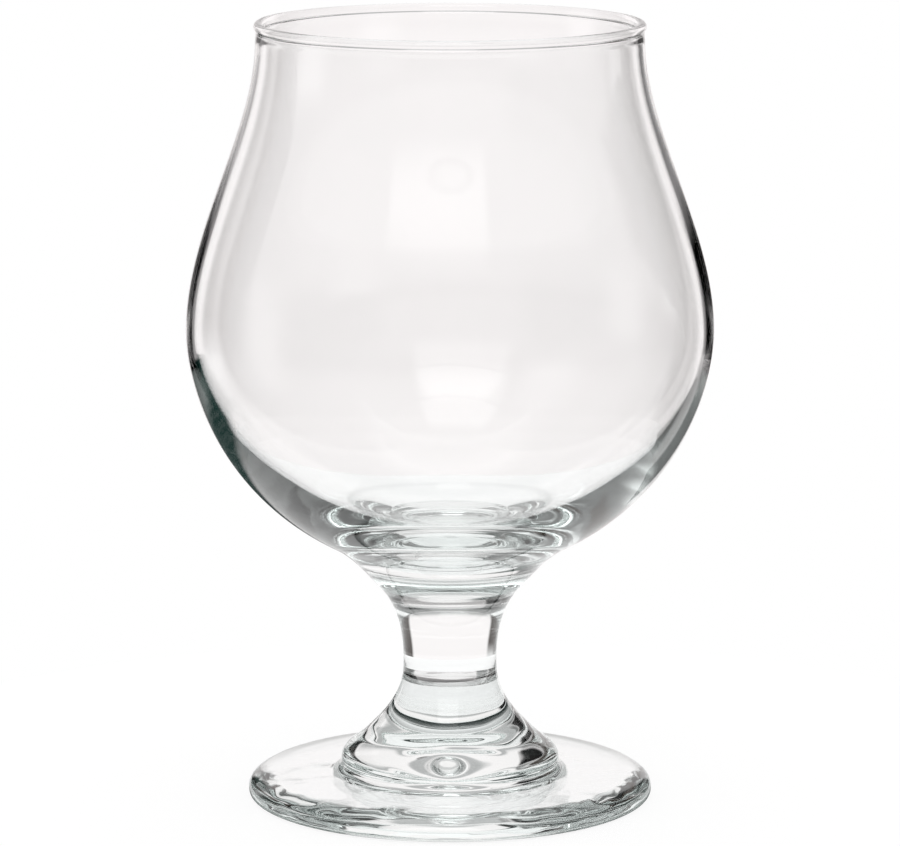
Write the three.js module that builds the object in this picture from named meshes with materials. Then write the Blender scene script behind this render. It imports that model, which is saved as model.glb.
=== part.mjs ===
// Stemmed tulip beer glass: a blown bowl on a drawn stem and a pressed foot.
// Millimetres, +Z up. The origin is the middle of the ring that the foot rests on.

import * as THREE from 'three';

// Foot, heights from the table up
const footRadius = 38.15;
const footEdgeThickness = 4.4;
const edgeTopWidth = 5;
const edgeTopDrop = 2.6;
const edgeBottomRadius = 1.2;
const footThicknessAtHub = 4.8;
const hubRadius = 20.6;
const hubFillet = 2.6;
const hubSideRise = 2.2;
const hubShoulderRadius = 16.2;
const hubShoulderRise = 7.1;
const hubShoulderAngle = 45;
const hubHeight = 17.7;

// Underside of the foot: a resting ring, a slight recess inside it, and a hollow in the middle
const restingRingWidth = 6;
const recessRise = 0.4;
const hollowRadius = 9;
const hollowRise = 3;

// Stem
const stemLength = 17.75;
const stemFootRadius = 9.1;
const stemFootAngle = 12;
const stemWaistRadius = 8.8;
const stemWaistRise = 3.3;
const stemTopRadius = 13.4;
const stemTopAngle = 42;

// Bowl outside, heights from its joint with the stem up
const bowlHeight = 106.5;
const underbellyRadius = 23.2;
const underbellyHeight = 8.55;
const underbellyAngle = 62.7;
const underbellyStraight = 22.2;
const bellyRadius = 49.35;
const bellyHeight = 48.9;
const bellyStraightBelow = 11.3;
const bellyStraightAbove = 18.7;
const neckRadius = 36.1;
const neckDrop = 3.4;
const neckStraight = 16.6;

// Rim and inside of the bowl
const rimRadius = 36.4;
const rimBead = 1.8;
const rimBeadWrap = 35;
const wallAtNeck = 1.1;
const wallAtBelly = 1.8;
const floorThickness = 9;
const floorStraight = 30.5;
const innerBellyStraightBelow = 17.5;

// Easing of the edges where two pieces are fused
const seamEasing = 0.1;

// Share of the straight distance that the handles of a plain sweep take
const sweepHandle = 0.36;

// Number of flats around, and steps along each kind of curve
const sidesAround = 48;
const longSteps = 11;
const sweepSteps = 6;
const shortSteps = 3;
const beadSteps = 8;

// Points closer than this count as one
const samePoint = 1e-6;

// Looks of the clear glass
const glassRoughness = 0.03;
const glassOpacity = 0.4;
const bowlColour = 0xeceeed;
const stemColour = 0xe4e9e6;
const footColour = 0xdfe5e2;

const footHeight = footThicknessAtHub + hubHeight;

// A point of an outline: distance from the axis, and height
function at(radius, height) {
  return new THREE.Vector2(radius, height);
}

// Direction of travel at an angle away from straight up, opening outwards
function heading(angle) {
  const turn = THREE.MathUtils.degToRad(angle);
  return at(Math.sin(turn), Math.cos(turn));
}

// Point reached from a start by going a distance along a direction
function along(start, direction, distance) {
  return start.clone().addScaledVector(direction, distance);
}

// Adds a curve to an outline, without repeating the point that the two share
function addCurve(outline, curve, steps) {
  const last = outline[outline.length - 1];
  for (const point of curve.getPoints(steps)) {
    if (point.distanceTo(last) > samePoint) {
      outline.push(point);
    }
  }
}

// Curve that leaves one point along one direction and arrives at another along another
function bend(from, leaving, leavingHandle, to, arriving, arrivingHandle) {
  const first = along(from, leaving, leavingHandle);
  const second = along(to, arriving, -arrivingHandle);
  return new THREE.CubicBezierCurve(from, first, second, to);
}

// The same with both handles a plain share of the distance
function sweep(from, leaving, to, arriving) {
  const handle = sweepHandle * from.distanceTo(to);
  return bend(from, leaving, handle, to, arriving, handle);
}

// Eased corner, from one point beside it to another
function eased(from, corner, to) {
  return new THREE.QuadraticBezierCurve(from, corner, to);
}

// Arc around a centre, from one angle to another, in degrees from straight outwards
function arc(centre, halfWidth, halfHeight, startAngle, endAngle) {
  const start = THREE.MathUtils.degToRad(startAngle);
  const end = THREE.MathUtils.degToRad(endAngle);
  return new THREE.EllipseCurve(centre.x, centre.y, halfWidth, halfHeight, start, end, false);
}

// Solid turned around the axis from an outline that goes up the outside
function turnedPiece(name, outline, finish, baseHeight) {
  const geometry = new THREE.LatheGeometry(outline, sidesAround);
  geometry.rotateX(Math.PI / 2);
  const piece = new THREE.Mesh(geometry, finish);
  piece.name = name;
  piece.position.z = baseHeight;
  return piece;
}

// Clear soda-lime glass, a little greyer where it is thicker
function clearGlass(colour) {
  return new THREE.MeshStandardMaterial({
    color: colour,
    roughness: glassRoughness,
    metalness: 0,
    transparent: true,
    opacity: glassOpacity,
  });
}

const up = heading(0);
const outwards = heading(90);
const inwards = heading(-90);
const down = heading(180);

// Pressed foot: a plate with a rounded edge, and a hub that sweeps up to the stem
function makeFoot() {
  const edgeBottom = at(footRadius - edgeBottomRadius, edgeBottomRadius);
  const edgeTop = at(footRadius - edgeTopWidth, footEdgeThickness - edgeTopDrop);
  const ringInside = at(edgeBottom.x - restingRingWidth, 0);
  const hollowEdge = at(hollowRadius, recessRise);
  const hollowTop = at(0, hollowRise);
  const plateAtHub = at(hubRadius + hubFillet, footThicknessAtHub);
  const hubSide = at(hubRadius, footThicknessAtHub + hubSideRise);
  const shoulder = at(hubShoulderRadius, footThicknessAtHub + hubShoulderRise);
  const towardsStem = heading(-stemFootAngle);
  const jointCorner = at(stemFootRadius, footHeight);
  const jointSide = along(jointCorner, towardsStem, -seamEasing);
  const jointFace = along(jointCorner, inwards, seamEasing);

  const outline = [hollowTop];
  addCurve(outline, sweep(hollowTop, outwards, hollowEdge, outwards), sweepSteps);
  addCurve(outline, sweep(hollowEdge, outwards, ringInside, outwards), sweepSteps);
  addCurve(outline, arc(edgeBottom, edgeBottomRadius, edgeBottomRadius, -90, 0), shortSteps);
  addCurve(outline, arc(edgeTop, edgeTopWidth, edgeTopDrop, 0, 90), sweepSteps);
  addCurve(outline, eased(plateAtHub, at(hubRadius, footThicknessAtHub), hubSide), shortSteps);
  addCurve(outline, sweep(hubSide, up, shoulder, heading(-hubShoulderAngle)), sweepSteps);
  addCurve(outline, sweep(shoulder, heading(-hubShoulderAngle), jointSide, towardsStem), sweepSteps);
  addCurve(outline, eased(jointSide, jointCorner, jointFace), shortSteps);
  outline.push(at(0, footHeight));
  return turnedPiece('foot', outline, clearGlass(footColour), 0);
}

// Drawn stem: narrowest a little above the foot, flared at the top to carry the bowl
function makeStem() {
  const bottomCorner = at(stemFootRadius, 0);
  const fromFoot = heading(-stemFootAngle);
  const bottomFace = along(bottomCorner, inwards, seamEasing);
  const bottomSide = along(bottomCorner, fromFoot, seamEasing);
  const waist = at(stemWaistRadius, stemWaistRise);
  const topCorner = at(stemTopRadius, stemLength);
  const towardsBowl = heading(stemTopAngle);
  const topSide = along(topCorner, towardsBowl, -seamEasing);
  const topFace = along(topCorner, inwards, seamEasing);

  const outline = [at(0, 0), bottomFace];
  addCurve(outline, eased(bottomFace, bottomCorner, bottomSide), shortSteps);
  addCurve(outline, sweep(bottomSide, fromFoot, waist, up), shortSteps);
  addCurve(outline, sweep(waist, up, topSide, towardsBowl), sweepSteps);
  addCurve(outline, eased(topSide, topCorner, topFace), shortSteps);
  outline.push(at(0, stemLength));
  return turnedPiece('stem', outline, clearGlass(stemColour), footHeight);
}

// Blown bowl: thick floor, wide belly, drawn-in neck and a fire-polished bead at the rim
function makeBowl() {
  const jointCorner = at(stemTopRadius, 0);
  const fromStem = heading(stemTopAngle);
  const jointFace = along(jointCorner, inwards, seamEasing);
  const jointSide = along(jointCorner, fromStem, seamEasing);
  const underbelly = at(underbellyRadius, underbellyHeight);
  const underHeading = heading(underbellyAngle);
  const belly = at(bellyRadius, bellyHeight);
  const neck = at(neckRadius, bowlHeight - neckDrop);
  const beadRadius = rimBead / 2;
  const beadCentre = at(rimRadius - beadRadius, bowlHeight - beadRadius);
  const beadOutside = along(beadCentre, heading(90 + rimBeadWrap), beadRadius);
  const beadInside = along(beadCentre, heading(-90 - rimBeadWrap), beadRadius);
  const innerNeck = at(neckRadius - wallAtNeck, neck.y);
  const innerBelly = at(bellyRadius - wallAtBelly, bellyHeight);
  const floorMiddle = at(0, floorThickness);

  const outline = [at(0, 0), jointFace];
  addCurve(outline, eased(jointFace, jointCorner, jointSide), shortSteps);
  addCurve(outline, sweep(jointSide, fromStem, underbelly, underHeading), sweepSteps);
  addCurve(outline, bend(underbelly, underHeading, underbellyStraight, belly, up, bellyStraightBelow), longSteps);
  addCurve(outline, bend(belly, up, bellyStraightAbove, neck, up, neckStraight), longSteps);
  addCurve(outline, sweep(neck, up, beadOutside, heading(rimBeadWrap)), shortSteps);
  addCurve(outline, arc(beadCentre, beadRadius, beadRadius, -rimBeadWrap, 180 + rimBeadWrap), beadSteps);
  addCurve(outline, sweep(beadInside, heading(180 - rimBeadWrap), innerNeck, down), shortSteps);
  addCurve(outline, bend(innerNeck, down, neckStraight, innerBelly, down, bellyStraightAbove), longSteps);
  addCurve(
    outline,
    bend(innerBelly, down, innerBellyStraightBelow, floorMiddle, inwards, floorStraight),
    longSteps,
  );
  return turnedPiece('bowl', outline, clearGlass(bowlColour), footHeight + stemLength);
}

const glass = new THREE.Group();
glass.add(makeFoot(), makeStem(), makeBowl());

export default glass;
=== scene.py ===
"""Stemmed tulip beer glass in a small white studio."""

import math
from typing import NamedTuple

import bmesh
import bpy
from bpy.props import FloatProperty, FloatVectorProperty, IntProperty, PointerProperty
from bpy.types import Operator, Panel, PropertyGroup
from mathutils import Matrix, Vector
from mathutils.geometry import interpolate_bezier


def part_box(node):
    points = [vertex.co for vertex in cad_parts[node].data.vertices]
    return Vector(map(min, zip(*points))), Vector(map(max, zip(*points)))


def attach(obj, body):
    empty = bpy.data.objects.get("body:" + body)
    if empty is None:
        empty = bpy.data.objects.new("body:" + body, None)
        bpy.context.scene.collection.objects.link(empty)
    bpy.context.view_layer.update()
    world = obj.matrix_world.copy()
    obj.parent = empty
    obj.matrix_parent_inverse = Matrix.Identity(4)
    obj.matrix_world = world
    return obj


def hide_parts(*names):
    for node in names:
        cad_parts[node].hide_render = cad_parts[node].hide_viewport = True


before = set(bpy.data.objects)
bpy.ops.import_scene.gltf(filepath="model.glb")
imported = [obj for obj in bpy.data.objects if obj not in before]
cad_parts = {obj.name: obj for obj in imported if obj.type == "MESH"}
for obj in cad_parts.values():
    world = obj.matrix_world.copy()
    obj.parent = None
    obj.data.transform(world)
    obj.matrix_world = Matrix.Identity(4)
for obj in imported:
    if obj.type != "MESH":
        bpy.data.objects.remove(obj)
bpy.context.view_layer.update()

bl_info = {
    "name": "Tulip Beer Glass",
    "version": (1, 0, 0),
    "blender": (4, 5, 0),
    "location": "View3D > Sidebar > Tulip Glass",
    "description": "Turns a stemmed tulip beer glass and sets it in a white studio",
    "category": "Add Mesh",
}

# Boxes of the solids: the pieces keep these outer sizes and joint heights
FOOT_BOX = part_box("foot")
STEM_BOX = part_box("stem")
BOWL_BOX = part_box("bowl")
FOOT_TOP = FOOT_BOX[1][2]
STEM_TOP = STEM_BOX[1][2]
RIM_TOP = BOWL_BOX[1][2]
FOOT_RADIUS = (FOOT_BOX[1][0] - FOOT_BOX[0][0]) / 2
BELLY_RADIUS = (BOWL_BOX[1][0] - BOWL_BOX[0][0]) / 2

BODY = "root"
MM = 0.001
ON_AXIS = 1e-7

# Directions of travel along an outline, away from the axis and upwards
UP = Vector((0, 1))
DOWN = Vector((0, -1))
OUTWARDS = Vector((1, 0))
INWARDS = Vector((-1, 0))


def length(name, description, default):
    """A length property in metres, given in millimetres."""
    return FloatProperty(
        name=name,
        description=description,
        default=default * MM,
        min=0,
        unit="LENGTH",
        precision=5,
    )


def angle(name, description, default):
    """An angle property in radians, given in degrees."""
    return FloatProperty(
        name=name, description=description, default=math.radians(default), unit="ROTATION"
    )


class FootSizes(PropertyGroup):
    """Sizes of the pressed foot."""

    edge_thickness: length("Edge thickness", "Thickness of the plate inside its rounded edge", 4.4)
    edge_top_width: length("Edge top width", "Width of the rounding on top of the edge", 5)
    edge_top_drop: length("Edge top drop", "Height of the rounding on top of the edge", 2.6)
    edge_bottom: length("Edge bottom", "Radius of the rounding under the edge", 1.2)
    thickness_at_hub: length("Thickness at hub", "Thickness of the plate beside the hub", 4.8)
    hub_radius: length("Hub radius", "Radius of the hub where its side is upright", 20.6)
    hub_fillet: length("Hub fillet", "Width of the hollow fillet from plate to hub", 2.6)
    hub_side_rise: length("Hub side rise", "Height of the upright side above the plate", 2.2)
    shoulder_radius: length("Shoulder radius", "Radius where the hub's curve turns over", 16.2)
    shoulder_rise: length("Shoulder rise", "Height of that turn above the plate", 7.1)
    shoulder_angle: angle("Shoulder angle", "Lean of the outline at that turn", 45)
    ring_width: length("Resting ring width", "Width of the flat ring under the edge", 6)
    recess_rise: length("Recess rise", "Depth of the slight recess inside the ring", 0.4)
    hollow_radius: length("Hollow radius", "Radius of the hollow in the middle", 9)
    hollow_rise: length("Hollow rise", "Depth of the hollow in the middle", 3)


class StemSizes(PropertyGroup):
    """Sizes of the drawn stem and of its two joints."""

    foot_radius: length("Foot joint radius", "Radius of the joint with the foot", 9.1)
    foot_angle: angle("Foot joint angle", "Lean of the outline at the joint with the foot", 12)
    waist_radius: length("Waist radius", "Radius at the narrowest place", 8.8)
    waist_rise: length("Waist rise", "Height of the narrowest place above the foot joint", 3.3)
    top_radius: length("Bowl joint radius", "Radius of the joint with the bowl", 13.4)
    top_angle: angle("Bowl joint angle", "Lean of the outline at the joint with the bowl", 42)
    seam_easing: length("Seam easing", "Rounding of the edges that are fused", 0.06)
    fuse_depth: length("Fuse depth", "How far fused faces sink into each other", 0.05)


class BowlSizes(PropertyGroup):
    """Sizes of the blown bowl."""

    under_radius: length("Underbelly radius", "Radius where the bowl leaves the stem's flare", 23.2)
    under_height: length("Underbelly height", "Height of that place above the joint", 8.55)
    under_angle: angle("Underbelly angle", "Lean of the outline there", 62.7)
    under_straight: length("Underbelly straight", "How far the outline keeps that lean", 22.2)
    belly_height: length("Belly height", "Height of the widest place above the joint", 48.9)
    belly_below: length("Belly below", "How far the belly stays upright below", 11.3)
    belly_above: length("Belly above", "How far the belly stays upright above", 18.7)
    neck_radius: length("Neck radius", "Outer radius at the narrowest place under the rim", 36.1)
    neck_drop: length("Neck drop", "Depth of that place below the rim", 3.4)
    neck_straight: length("Neck straight", "How far the neck stays upright", 16.6)
    rim_radius: length("Rim radius", "Outer radius of the rim's bead", 36.4)
    rim_bead: length("Rim bead", "Thickness of the rim's bead", 1.8)
    bead_wrap: angle("Bead wrap", "How far the bead goes round below its middle", 35)
    wall_at_neck: length("Wall at neck", "Thickness of the wall at the neck", 1.1)
    wall_at_belly: length("Wall at belly", "Thickness of the wall at the belly", 1.8)
    floor_thickness: length("Floor thickness", "Height of the floor's middle above the joint", 9)
    floor_straight: length("Floor straight", "How far the floor stays level from its middle", 30.5)
    inner_below: length("Inner belly below", "How far the inner belly stays upright below", 17.5)


class GlassFinish(PropertyGroup):
    """Looks of the clear glass."""

    index: FloatProperty(name="Index", description="Index of refraction", default=1.52, min=1)
    body_colour: FloatVectorProperty(
        name="Body colour",
        description="Colour that thick glass keeps",
        subtype="COLOR",
        default=(0.6, 0.95, 0.86),
    )
    body_density: FloatProperty(
        name="Body density",
        description="How fast thick glass takes on its colour",
        default=1.6,
        min=0,
    )
    mark_size: length("Mark size", "Size of the faint wiping marks", 9)
    mark_roughness: FloatProperty(
        name="Mark roughness",
        description="Roughness of the strongest marks",
        default=0.012,
        min=0,
    )
    wave_size: length("Wave size", "Length of the waves in the skin", 12)
    foot_waves: length("Foot waves", "Height of the waves on the pressed foot", 0.3)
    hollow_waves: length("Hollow waves", "Height of the waves in the hollow under the foot", 1.05)
    stem_waves: length("Stem waves", "Height of the waves on the drawn stem", 0.04)
    bowl_waves: length("Bowl waves", "Height of the waves on the blown bowl", 0.01)


class StudioSettings(PropertyGroup):
    """Camera of the studio."""

    camera_distance: length("Camera distance", "From the aim to the camera", 947.7)
    camera_elevation: angle("Camera elevation", "Height of the camera above the aim", 10.236)
    aim_height: length("Aim height", "Height of the point in the middle of the picture", 71.2)
    lens: FloatProperty(
        name="Lens", description="Focal length on a 36 mm sensor", default=202.0, unit="CAMERA"
    )


class MeshSettings(PropertyGroup):
    """How finely the pieces are turned."""

    sides: IntProperty(name="Sides", description="Faces around the axis", default=192, min=8)
    step: length("Step", "Longest step along an outline", 1.0)
    fine_step: length("Fine step", "Longest step along a small rounding", 0.12)


# Shares that shape the curves of an outline
HANDLE_SHARE = 0.36
CORNER_SHARE = 2 / 3
CURVE_OVER_CHORD = 1.1
FEWEST_CURVE_STEPS = 3
FEWEST_CORNER_STEPS = 4
FEWEST_ARC_STEPS = 8


def at(radius, height):
    """A point of an outline: distance from the axis, and height."""
    return Vector((radius, height))


def heading(lean):
    """Direction of travel upwards at a lean away from the axis."""
    return Vector((math.sin(lean), math.cos(lean)))


def bend(start, leaving, leaving_handle, end, arriving, arriving_handle, step):
    """Points of a curve that leaves one point along one direction and reaches another."""
    first = start + leaving * leaving_handle
    second = end - arriving * arriving_handle
    reach = (end - start).length * CURVE_OVER_CHORD
    count = max(FEWEST_CURVE_STEPS, math.ceil(reach / step))
    return interpolate_bezier(start, first, second, end, count + 1)


def sweep(start, leaving, end, arriving, step):
    """The same curve with both handles a plain share of the distance."""
    handle = HANDLE_SHARE * (end - start).length
    return bend(start, leaving, handle, end, arriving, handle, step)


def eased(start, corner, end, step):
    """Points of a corner eased from one side to the other."""
    first = start.lerp(corner, CORNER_SHARE)
    second = end.lerp(corner, CORNER_SHARE)
    count = max(FEWEST_CORNER_STEPS, math.ceil((end - start).length / step))
    return interpolate_bezier(start, first, second, end, count + 1)


def arc(centre, half_width, half_height, start, end, step):
    """Points of an arc between two angles from straight outwards."""
    reach = (end - start) * max(half_width, half_height)
    count = max(FEWEST_ARC_STEPS, math.ceil(reach / step))
    turns = [start + (end - start) * i / count for i in range(count + 1)]
    return [centre + Vector((math.cos(t) * half_width, math.sin(t) * half_height)) for t in turns]


def joined(*stretches):
    """One outline from its stretches, without repeated points."""
    outline = []
    for point in (p for stretch in stretches for p in stretch):
        if not outline or (point - outline[-1]).length > ON_AXIS:
            outline.append(point)
    return outline


def add_object(name, data):
    """A new object in the scene."""
    item = bpy.data.objects.new(name, data)
    bpy.context.scene.collection.objects.link(item)
    return item


def ring(shape, point, count):
    """Vertices of one outline point turned around the axis."""
    turns = [2 * math.pi * i / count for i in range(count)]
    return [shape.verts.new((point.x * math.cos(t), point.x * math.sin(t), point.y)) for t in turns]


def finished(shape, name):
    """A mesh from its bmesh, which is freed."""
    mesh = bpy.data.meshes.new(name)
    shape.to_mesh(mesh)
    shape.free()
    return mesh


def turned(name, outline, sides):
    """A closed smooth mesh turned around the axis from an outline that goes up the outside."""
    shape = bmesh.new()
    rings = [ring(shape, point, 1 if point.x < ON_AXIS else sides) for point in outline]
    for lower, upper in zip(rings, rings[1:]):
        for i in range(sides):
            j = i + 1
            corners = (
                lower[i % len(lower)],
                lower[j % len(lower)],
                upper[j % len(upper)],
                upper[i % len(upper)],
            )
            shape.faces.new(dict.fromkeys(corners))
    mesh = finished(shape, name)
    mesh.shade_smooth()
    return add_object(name, mesh)


def dress(piece, node, finish):
    """Puts a piece in the place of its solid, with its finish."""
    piece.data.materials.append(finish)
    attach(piece, BODY)
    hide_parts(node)


class Wiring:
    """Adds nodes to a tree and links them."""

    def __init__(self, tree):
        self.tree = tree

    def add(self, kind, **settings):
        """A new node with its settings."""
        node = self.tree.nodes.new(kind)
        for name, value in settings.items():
            setattr(node, name, value)
        return node

    def feed(self, socket, value):
        """Links a socket to an output, or sets it to a plain value."""
        if isinstance(value, bpy.types.NodeSocket):
            self.tree.links.new(value, socket)
        else:
            socket.default_value = value

    def math(self, operation, *values):
        """Result of a sum on one to three values."""
        node = self.add("ShaderNodeMath", operation=operation)
        for socket, value in zip(node.inputs, values):
            self.feed(socket, value)
        return node.outputs[0]

    def eased_step(self, value, middle, blur):
        """Rises smoothly from 0 to 1 around a middle."""
        node = self.add("ShaderNodeMapRange", interpolation_type="SMOOTHSTEP")
        self.feed(node.inputs["Value"], value)
        self.feed(node.inputs["From Min"], middle - blur)
        self.feed(node.inputs["From Max"], middle + blur)
        return node.outputs[0]

    def soft_span(self, value, low, high, blur):
        """1 between two ends, falling smoothly to 0 beyond them."""
        above = self.eased_step(value, low, blur)
        beyond = self.eased_step(value, high, blur)
        return self.math("MULTIPLY", above, self.math("SUBTRACT", 1, beyond))

    def soft_strip(self, apart, half_width, blur):
        """1 beside a middle line, falling smoothly to 0 at some distance from it."""
        outside = self.eased_step(self.math("ABSOLUTE", apart), half_width, blur)
        return self.math("SUBTRACT", 1, outside)

    def distance(self, place):
        """Distance of a place from the origin."""
        node = self.add("ShaderNodeVectorMath", operation="LENGTH")
        self.feed(node.inputs[0], place)
        return node.outputs["Value"]

    def moved(self, place, shift):
        """A place moved by a fixed shift."""
        node = self.add("ShaderNodeVectorMath", operation="ADD")
        self.feed(node.inputs[0], place)
        self.feed(node.inputs[1], shift)
        return node.outputs[0]

    def axes(self, place):
        """The three parts of a place."""
        node = self.add("ShaderNodeSeparateXYZ")
        self.feed(node.inputs[0], place)
        return node.outputs

    def noise(self, place, size, detail):
        """Cloudy value between 0 and 1 with patches of one size."""
        node = self.add("ShaderNodeTexNoise")
        self.feed(node.inputs["Vector"], place)
        self.feed(node.inputs["Scale"], 1 / size)
        self.feed(node.inputs["Detail"], detail)
        return node.outputs[0]

    def blend(self, share, first, second):
        """Mixes two colours."""
        node = self.add("ShaderNodeMix", data_type="RGBA")
        # The node's colour sockets share their names with its other sockets
        first_colour, second_colour, result = node.inputs[6], node.inputs[7], node.outputs[2]
        self.feed(node.inputs["Factor"], share)
        self.feed(first_colour, first)
        self.feed(second_colour, second)
        return result


def grey(level):
    """A colour without hue."""
    return (level, level, level, 1)


WIPED_TINT = (0.985, 0.99, 0.988, 1)
MARK_DETAIL = 4
WAVE_DETAIL = 1
WAVE_SHIFT = (0.1, 0, 0.04)
HOLLOW_REACH = 14 * MM
HOLLOW_BLUR = 4 * MM


def clear_glass(name, waves, waves_at_origin, settings):
    """Clear soda-lime glass: a faint green in thick parts, a wavy skin and a few wiping marks.

    The waves have one height near the origin, in the hollow of the foot, and another elsewhere.
    """
    material = bpy.data.materials.new(name)
    material.use_nodes = True
    wires = Wiring(material.node_tree)
    shader = material.node_tree.nodes["Principled BSDF"]
    wires.feed(shader.inputs["IOR"], settings.index)
    wires.feed(shader.inputs["Transmission Weight"], 1)
    place = wires.add("ShaderNodeTexCoord").outputs["Object"]
    marks = wires.noise(place, settings.mark_size, MARK_DETAIL)
    wires.feed(shader.inputs["Base Color"], wires.blend(marks, grey(1), WIPED_TINT))
    wires.feed(shader.inputs["Roughness"], wires.math("MULTIPLY", marks, settings.mark_roughness))
    swell = wires.noise(wires.moved(place, WAVE_SHIFT), settings.wave_size, WAVE_DETAIL)
    elsewhere = wires.eased_step(wires.distance(place), HOLLOW_REACH, HOLLOW_BLUR)
    height = wires.math("MULTIPLY_ADD", elsewhere, waves - waves_at_origin, waves_at_origin)
    bump = wires.add("ShaderNodeBump")
    wires.feed(bump.inputs["Height"], wires.math("MULTIPLY", swell, height))
    wires.feed(bump.inputs["Distance"], 1)
    wires.feed(shader.inputs["Normal"], bump.outputs[0])
    body = wires.add("ShaderNodeVolumeAbsorption")
    wires.feed(body.inputs["Color"], (*settings.body_colour, 1))
    wires.feed(body.inputs["Density"], settings.body_density)
    output = material.node_tree.nodes["Material Output"]
    wires.feed(output.inputs["Volume"], body.outputs[0])
    return material


def foot_outline(foot, stem, grain):
    """Outline of the foot, from the middle of its hollow to the middle of its joint."""
    low, wide, drop = foot.edge_bottom, foot.edge_top_width, foot.edge_top_drop
    edge_under = at(FOOT_RADIUS - low, low)
    edge_over = at(FOOT_RADIUS - wide, foot.edge_thickness - drop)
    ring_inside = at(edge_under.x - foot.ring_width, 0)
    hollow_edge = at(foot.hollow_radius, foot.recess_rise)
    hollow_top = at(0, foot.hollow_rise)
    plate = at(foot.hub_radius + foot.hub_fillet, foot.thickness_at_hub)
    plate_corner = at(foot.hub_radius, foot.thickness_at_hub)
    hub_side = at(foot.hub_radius, foot.thickness_at_hub + foot.hub_side_rise)
    shoulder = at(foot.shoulder_radius, foot.thickness_at_hub + foot.shoulder_rise)
    over = heading(-foot.shoulder_angle)
    to_stem = heading(-stem.foot_angle)
    joint = FOOT_TOP + stem.fuse_depth
    corner = at(stem.foot_radius, joint)
    side = corner - to_stem * stem.seam_easing
    face = corner + INWARDS * stem.seam_easing
    return joined(
        sweep(hollow_top, OUTWARDS, hollow_edge, OUTWARDS, grain.step / 2),
        sweep(hollow_edge, OUTWARDS, ring_inside, OUTWARDS, grain.step),
        arc(edge_under, low, low, -math.pi / 2, 0, grain.fine_step * 2),
        arc(edge_over, wide, drop, 0, math.pi / 2, grain.fine_step * 2),
        eased(plate, plate_corner, hub_side, grain.fine_step),
        sweep(hub_side, UP, shoulder, over, grain.step / 2),
        sweep(shoulder, over, side, to_stem, grain.step / 2),
        eased(side, corner, face, grain.fine_step),
        [at(0, joint)],
    )


def stem_outline(stem, grain):
    """Outline of the stem, from the middle of its lower joint to the middle of its upper one."""
    low = FOOT_TOP - stem.fuse_depth
    high = STEM_TOP + stem.fuse_depth
    from_foot = heading(-stem.foot_angle)
    to_bowl = heading(stem.top_angle)
    low_corner = at(stem.foot_radius, low)
    low_face = low_corner + INWARDS * stem.seam_easing
    low_side = low_corner + from_foot * stem.seam_easing
    waist = at(stem.waist_radius, FOOT_TOP + stem.waist_rise)
    high_corner = at(stem.top_radius, high)
    high_side = high_corner - to_bowl * stem.seam_easing
    high_face = high_corner + INWARDS * stem.seam_easing
    return joined(
        [at(0, low)],
        eased(low_face, low_corner, low_side, grain.fine_step),
        sweep(low_side, from_foot, waist, UP, grain.step / 2),
        sweep(waist, UP, high_side, to_bowl, grain.step / 2),
        eased(high_side, high_corner, high_face, grain.fine_step),
        [at(0, high)],
    )


def bowl_outline(bowl, stem, grain):
    """Outline of the bowl, from the middle of its joint round the rim to its floor."""
    base = STEM_TOP - stem.fuse_depth
    from_stem = heading(stem.top_angle)
    corner = at(stem.top_radius, base)
    face = corner + INWARDS * stem.seam_easing
    side = corner + from_stem * stem.seam_easing
    under = at(bowl.under_radius, STEM_TOP + bowl.under_height)
    under_way = heading(bowl.under_angle)
    belly = at(BELLY_RADIUS, STEM_TOP + bowl.belly_height)
    neck = at(bowl.neck_radius, RIM_TOP - bowl.neck_drop)
    bead_radius = bowl.rim_bead / 2
    bead_middle = at(bowl.rim_radius - bead_radius, RIM_TOP - bead_radius)
    turn = (-bowl.bead_wrap, math.pi + bowl.bead_wrap)
    bead = arc(bead_middle, bead_radius, bead_radius, *turn, grain.fine_step)
    inner_neck = at(bowl.neck_radius - bowl.wall_at_neck, neck.y)
    inner_belly = at(BELLY_RADIUS - bowl.wall_at_belly, belly.y)
    floor = at(0, STEM_TOP + bowl.floor_thickness)
    onto_bead = heading(bowl.bead_wrap)
    off_bead = heading(math.pi - bowl.bead_wrap)
    return joined(
        [at(0, base)],
        eased(face, corner, side, grain.fine_step),
        sweep(side, from_stem, under, under_way, grain.step / 2),
        bend(under, under_way, bowl.under_straight, belly, UP, bowl.belly_below, grain.step),
        bend(belly, UP, bowl.belly_above, neck, UP, bowl.neck_straight, grain.step),
        sweep(neck, UP, bead[0], onto_bead, grain.fine_step * 2),
        bead,
        sweep(bead[-1], off_bead, inner_neck, DOWN, grain.fine_step * 2),
        bend(inner_neck, DOWN, bowl.neck_straight, inner_belly, DOWN, bowl.belly_above, grain.step),
        bend(inner_belly, DOWN, bowl.inner_below, floor, INWARDS, bowl.floor_straight, grain.step),
    )


class TULIP_OT_foot(Operator):
    """Turn the pressed foot"""

    bl_idname = "tulip_glass.foot"
    bl_label = "Foot"

    def execute(self, context):
        scene = context.scene
        finish = scene.tulip_finish
        outline = foot_outline(scene.tulip_foot, scene.tulip_stem, scene.tulip_mesh)
        piece = turned("pressed_foot", outline, scene.tulip_mesh.sides)
        glass = clear_glass("pressed_glass", finish.foot_waves, finish.hollow_waves, finish)
        dress(piece, "foot", glass)
        return {"FINISHED"}


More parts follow.
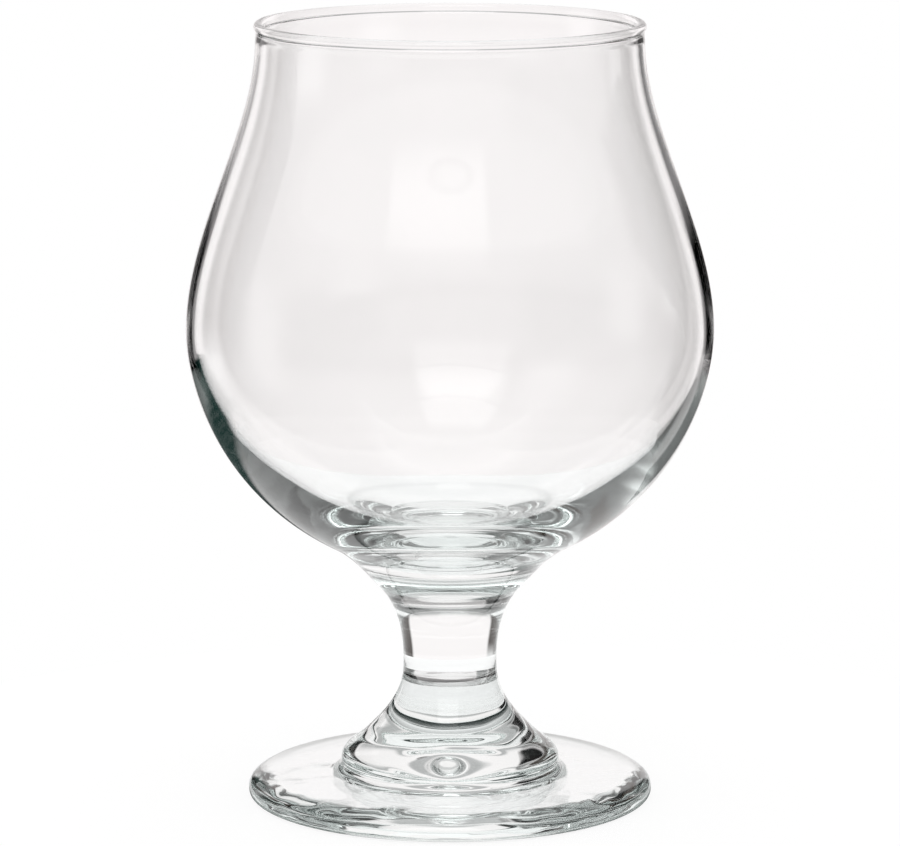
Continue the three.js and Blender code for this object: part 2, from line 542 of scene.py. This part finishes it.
class TULIP_OT_stem(Operator):
    """Turn the drawn stem"""

    bl_idname = "tulip_glass.stem"
    bl_label = "Stem"

    def execute(self, context):
        scene = context.scene
        finish = scene.tulip_finish
        outline = stem_outline(scene.tulip_stem, scene.tulip_mesh)
        piece = turned("drawn_stem", outline, scene.tulip_mesh.sides)
        glass = clear_glass("drawn_glass", finish.stem_waves, finish.stem_waves, finish)
        dress(piece, "stem", glass)
        return {"FINISHED"}


class TULIP_OT_bowl(Operator):
    """Turn the blown bowl with its beaded rim"""

    bl_idname = "tulip_glass.bowl"
    bl_label = "Bowl"

    def execute(self, context):
        scene = context.scene
        finish = scene.tulip_finish
        outline = bowl_outline(scene.tulip_bowl, scene.tulip_stem, scene.tulip_mesh)
        piece = turned("blown_bowl", outline, scene.tulip_mesh.sides)
        glass = clear_glass("blown_glass", finish.bowl_waves, finish.bowl_waves, finish)
        dress(piece, "bowl", glass)
        return {"FINISHED"}


SENSOR_WIDTH = 36


def add_camera(studio):
    """The camera at the photograph's angle."""
    data = bpy.data.cameras.new("studio_camera")
    data.sensor_width = SENSOR_WIDTH
    data.lens = studio.lens
    camera = add_object("studio_camera", data)
    aim = Vector((0, 0, studio.aim_height))
    lift = studio.camera_elevation
    back = Vector((0, -math.cos(lift), math.sin(lift)))
    camera.location = aim + back * studio.camera_distance
    camera.rotation_euler = (-back).to_track_quat("-Z", "Y").to_euler()
    bpy.context.scene.camera = camera


def bare_material(name):
    """A new material without nodes, and its wiring."""
    material = bpy.data.materials.new(name)
    material.use_nodes = True
    material.node_tree.nodes.clear()
    return material, Wiring(material.node_tree)


FLOOR_RADIUS = 0.13
FLOOR_DROP = 0.0002
FLOOR_SIDES = 96
FLOOR_PAINT = grey(0.9)
FLOOR_GLOW_SHARE = 0.85
FLOOR_GLOW = 1.04

# Painted contact shadow: a dark ring painted on the floor under the edge of the foot, which only
# the glass shows, deeper where the glass mirrors it
CONTACT_RADIUS = 37.5 * MM
CONTACT_HALF_WIDTH = 2 * MM
CONTACT_BLUR = 1.5 * MM
CONTACT_SHADE = (0.42, 0.44, 0.43, 1)
CONTACT_SHADE_MIRRORED = (0.02, 0.03, 0.028, 1)


def floor_mesh():
    """A round disc, with one more ring of faces around its middle."""
    shape = bmesh.new()
    inner = ring(shape, at(FLOOR_RADIUS / 2, -FLOOR_DROP), FLOOR_SIDES)
    outer = ring(shape, at(FLOOR_RADIUS, -FLOOR_DROP), FLOOR_SIDES)
    shape.faces.new(inner)
    for i in range(FLOOR_SIDES):
        j = (i + 1) % FLOOR_SIDES
        shape.faces.new((inner[i], inner[j], outer[j], outer[i]))
    return finished(shape, "floor")


def add_floor():
    """Pale floor that looks white to the camera and in the glass, and keeps a faint shadow; in the
    glass it also shows a painted shadow ring under the foot's edge.
    """
    material, wires = bare_material("pale_floor")
    rays = wires.add("ShaderNodeLightPath").outputs
    through = wires.math("MAXIMUM", rays["Is Glossy Ray"], rays["Is Transmission Ray"])
    seen = wires.math("MAXIMUM", rays["Is Camera Ray"], through)
    place = wires.add("ShaderNodeTexCoord").outputs["Object"]
    # Painted shadow: a ring under the foot's edge darkens the floor, only for rays through or
    # mirrored in the glass
    apart = wires.math("SUBTRACT", wires.distance(place), CONTACT_RADIUS)
    shadow_ring = wires.soft_strip(apart, CONTACT_HALF_WIDTH, CONTACT_BLUR)
    mirrored = wires.math("MINIMUM", rays["Glossy Depth"], 1)
    painted_contact_shadow = wires.blend(mirrored, CONTACT_SHADE, CONTACT_SHADE_MIRRORED)
    painted_shadow_in_glass = wires.blend(shadow_ring, grey(1), painted_contact_shadow)
    paint = wires.add("ShaderNodeBsdfDiffuse")
    # The painted shadow ring darkens both the lit paint and the glow as the glass sees them
    wires.feed(paint.inputs["Color"], wires.blend(through, FLOOR_PAINT, painted_shadow_in_glass))
    white = wires.add("ShaderNodeEmission")
    wires.feed(white.inputs["Color"], wires.blend(through, grey(1), painted_shadow_in_glass))
    wires.feed(white.inputs["Strength"], FLOOR_GLOW)
    mix = wires.add("ShaderNodeMixShader")
    wires.feed(mix.inputs[0], wires.math("MULTIPLY", seen, FLOOR_GLOW_SHARE))
    wires.feed(mix.inputs[1], paint.outputs[0])
    wires.feed(mix.inputs[2], white.outputs[0])
    output = wires.add("ShaderNodeOutputMaterial")
    wires.feed(output.inputs["Surface"], mix.outputs[0])
    mesh = floor_mesh()
    mesh.materials.append(material)
    add_object("floor", mesh)


class Board(NamedTuple):
    """A dark board with soft edges that only light mirrored in the glass shows.

    The bearing is in degrees, clockwise from straight behind the glass, and the rest is in
    millimetres. An upright board goes from low to high, a lying one from near to far.
    """

    name: str
    bearing: float
    distance: float
    half_width: float
    low: float
    high: float
    side_blur: float
    end_blur: float
    shade: tuple
    lying: bool = False


DEEP_GREEN = (0.01, 0.035, 0.03, 1)
BOARDS = (
    Board("left_board", -31, 265, 36, -20, 110, 8, 10, grey(0)),
    Board("left_top_board", -31, 265, 30, 110, 165, 8, 10, grey(0.45)),
    Board("left_mat", -36, 140, 80, 0, 270, 20, 15, DEEP_GREEN, lying=True),
    Board("right_board", 44, 120, 20, -20, 56, 4, 8, grey(0.1)),
    Board("right_middle_board", 44, 120, 22, 56, 112, 4, 8, grey(0)),
    Board("right_top_board", 43, 120, 16, 112, 145, 4, 8, grey(0.2)),
)


def add_board(board):
    """Sets up one board."""
    half_width, low, high = board.half_width * MM, board.low * MM, board.high * MM
    side_blur, end_blur = board.side_blur * MM, board.end_blur * MM
    material, wires = bare_material(board.name)
    across, _, along = wires.axes(wires.add("ShaderNodeTexCoord").outputs["Object"])
    strip = wires.soft_strip(across, half_width, side_blur)
    share = wires.math("MULTIPLY", strip, wires.soft_span(along, low, high, end_blur))
    mirrors = wires.add("ShaderNodeLightPath").outputs["Glossy Depth"]
    share = wires.math("MULTIPLY", share, wires.math("MINIMUM", mirrors, 1))
    cloth = wires.add("ShaderNodeBsdfTransparent")
    wires.feed(cloth.inputs["Color"], wires.blend(share, grey(1), board.shade))
    output = wires.add("ShaderNodeOutputMaterial")
    wires.feed(output.inputs["Surface"], cloth.outputs[0])
    side = half_width + side_blur
    start = low - end_blur if board.lying else max(0, low - end_blur)
    end = high + end_blur
    corners = [(-side, 0, start), (side, 0, start), (side, 0, end), (-side, 0, end)]
    mesh = bpy.data.meshes.new(board.name)
    mesh.from_pydata(corners, [], [(0, 1, 2, 3)])
    mesh.materials.append(material)
    flag = add_object(board.name, mesh)
    turn = math.radians(board.bearing)
    flag.location = Vector((math.sin(turn), math.cos(turn), 0)) * board.distance * MM
    flag.rotation_euler = (-math.pi / 2 if board.lying else 0, 0, -turn)
    flag.visible_camera = False
    flag.visible_diffuse = False
    flag.visible_shadow = False


class Patch(NamedTuple):
    """A soft-edged patch of the surroundings, in degrees.

    The bearing goes clockwise from straight behind the glass, the ends are elevations.
    """

    bearing: float
    half_width: float
    low: float
    high: float
    side_blur: float
    end_blur: float
    colour: tuple


# Brightness of the surroundings by elevation in degrees, before the patches lie over it
SURROUNDINGS = (
    (-90, grey(0.9)),
    (-36, grey(0.75)),
    (-18, grey(0.52)),
    (-6, grey(0.12)),
    (36, grey(0.12)),
    (46, grey(0.03)),
    (60, grey(0.03)),
    (70, grey(0.4)),
    (90, grey(0.4)),
)
DARK_GREEN = (0.008, 0.025, 0.022, 1)
DARK_BROWN = (0.03, 0.018, 0.012, 1)
WARM_WHITE = (1.0, 0.965, 0.965, 1)
FRONT = Patch(180, 75, -3, 64, 15, 5, grey(0.3))
FRONT_LEFT = Patch(-124, 24, -1, 24, 9, 5, grey(0.2))
FRONT_RIGHT = Patch(120, 26, -1, 24, 9, 5, DARK_GREEN)
SIDE_RIGHT = Patch(84, 14, -5, 40, 6, 6, grey(0.06))
POST_RIGHT = Patch(54, 12, -32, 40, 3, 5, DARK_BROWN)
POST_LEFT = Patch(-54, 12, -32, 40, 3, 5, DARK_BROWN)
PALE_SIDE = Patch(-90, 11, -24, 9, 8, 6, grey(0.9))
PALE_FRONT_RIGHT = Patch(135, 12, -34, -7, 10, 6, grey(0.9))
PALE_BACK_LEFT = Patch(-45, 17, -50, -9, 8, 6, grey(0.95))
BACK_PANEL = Patch(0, 42, -120, 70, 3, 8, WARM_WHITE)
BACK_TOP = Patch(0, 40, 26, 55, 6, 6, grey(0.5))
SOFTBOX = Patch(-173.5, 26, 28.5, 62, 3, 6, grey(1.45))
SOFTBOX_HEART = Patch(-173.5, 24, 44, 62, 8, 8, grey(2.2))

# Each patch lies over the ones before it
PATCHES = (
    FRONT,
    FRONT_LEFT,
    FRONT_RIGHT,
    SIDE_RIGHT,
    POST_RIGHT,
    POST_LEFT,
    PALE_SIDE,
    PALE_FRONT_RIGHT,
    PALE_BACK_LEFT,
    BACK_PANEL,
    BACK_TOP,
    SOFTBOX,
    SOFTBOX_HEART,
)


def add_world():
    """Studio around the glass: panels, dark posts and a softbox, and white for the camera."""
    world = bpy.data.worlds.new("studio")
    world.use_nodes = True
    wires = Wiring(world.node_tree)
    x, y, z = wires.axes(wires.add("ShaderNodeTexCoord").outputs["Generated"])
    bearing = wires.math("DEGREES", wires.math("ARCTAN2", x, y))
    lift = wires.math("DEGREES", wires.math("ARCSINE", z))
    ramp = wires.add("ShaderNodeValToRGB")
    stops = ramp.color_ramp.elements
    while len(stops) < len(SURROUNDINGS):
        stops.new(1)
    lowest, highest = SURROUNDINGS[0][0], SURROUNDINGS[-1][0]
    reach = highest - lowest
    for stop, (height, colour) in zip(stops, SURROUNDINGS):
        stop.position = (height - lowest) / reach
        stop.color = colour
    wires.feed(ramp.inputs[0], wires.math("MULTIPLY_ADD", lift, 1 / reach, -lowest / reach))
    light = ramp.outputs[0]
    for patch in PATCHES:
        apart = wires.math("SUBTRACT", bearing, patch.bearing)
        apart = wires.math("WRAP", apart, 180, -180)
        strip = wires.soft_strip(apart, patch.half_width, patch.side_blur)
        span = wires.soft_span(lift, patch.low, patch.high, patch.end_blur)
        light = wires.blend(wires.math("MULTIPLY", strip, span), light, patch.colour)
    rays = wires.add("ShaderNodeLightPath").outputs
    light = wires.blend(rays["Is Diffuse Ray"], light, grey(1))
    light = wires.blend(rays["Is Camera Ray"], light, grey(1))
    wires.feed(world.node_tree.nodes["Background"].inputs["Color"], light)
    bpy.context.scene.world = world


# Enough turns for light that is mirrored many times inside thick glass
BOUNCES = 40


class TULIP_OT_studio(Operator):
    """Set the floor, the light and the camera"""

    bl_idname = "tulip_glass.studio"
    bl_label = "Studio"

    def execute(self, context):
        scene = context.scene
        add_camera(scene.tulip_studio)
        add_floor()
        for board in BOARDS:
            add_board(board)
        add_world()
        scene.view_settings.view_transform = "Standard"
        scene.cycles.max_bounces = BOUNCES
        scene.cycles.glossy_bounces = BOUNCES
        scene.cycles.transmission_bounces = BOUNCES
        return {"FINISHED"}


class TULIP_PT_panel(Panel):
    """Sidebar list of the pieces"""

    bl_idname = "TULIP_PT_panel"
    bl_label = "Tulip Beer Glass"
    bl_space_type = "VIEW_3D"
    bl_region_type = "UI"
    bl_category = "Tulip Glass"

    def draw(self, context):
        for operator in OPERATORS:
            self.layout.operator(operator.bl_idname)


GROUPS = {
    "tulip_foot": FootSizes,
    "tulip_stem": StemSizes,
    "tulip_bowl": BowlSizes,
    "tulip_finish": GlassFinish,
    "tulip_studio": StudioSettings,
    "tulip_mesh": MeshSettings,
}
OPERATORS = (TULIP_OT_foot, TULIP_OT_stem, TULIP_OT_bowl, TULIP_OT_studio)


def register():
    """Adds the classes and the scene's settings."""
    for cls in (*GROUPS.values(), *OPERATORS, TULIP_PT_panel):
        bpy.utils.register_class(cls)
    for name, group in GROUPS.items():
        setattr(bpy.types.Scene, name, PointerProperty(type=group))


def unregister():
    """Takes them away again."""
    for name in GROUPS:
        delattr(bpy.types.Scene, name)
    for cls in (TULIP_PT_panel, *reversed(OPERATORS), *reversed(list(GROUPS.values()))):
        bpy.utils.unregister_class(cls)


def main():
    """Makes the glass and its studio."""
    register()
    bpy.ops.tulip_glass.studio()
    bpy.ops.tulip_glass.foot()
    bpy.ops.tulip_glass.stem()
    bpy.ops.tulip_glass.bowl()


if __name__ == "__main__":
    main()
